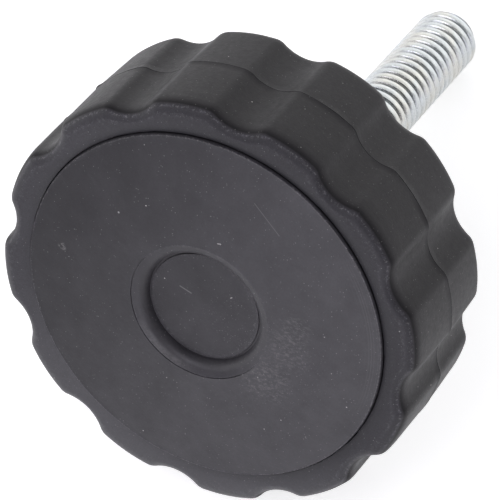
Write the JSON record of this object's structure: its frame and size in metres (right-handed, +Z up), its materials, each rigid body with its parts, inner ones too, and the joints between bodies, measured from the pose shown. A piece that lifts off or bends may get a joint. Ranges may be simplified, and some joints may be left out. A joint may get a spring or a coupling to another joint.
{
  "type": "fluted clamping knob with threaded stud",
  "caption": "Round black clamping knob with a fluted rim, a pressed-in domed cover and a plated steel threaded stud.",
  "frame": {"origin": "on the bench surface, under the middle of the knob's bounding box as it lies at rest on two lobes of its rim and the tip of its stud", "axes": "+Z up; the stud points towards +Y and 23.7 degrees down to the bench; the cover faces -Y and 23.7 degrees up; +X across the rim"},
  "size_m": [0.0376, 0.053, 0.0386],
  "materials": {
    "body_moulding": "matt moulded black plastic with a fine grain",
    "cover_moulding": "matt moulded dark grey plastic, lightly scuffed",
    "zinc_plated_steel": "bright zinc plate on a rolled thread"
  },
  "bodies": {
    "root": {"knob_body": "body_moulding", "cover_cap": "cover_moulding", "threaded_stud": "zinc_plated_steel"}
  },
  "joints": []
}
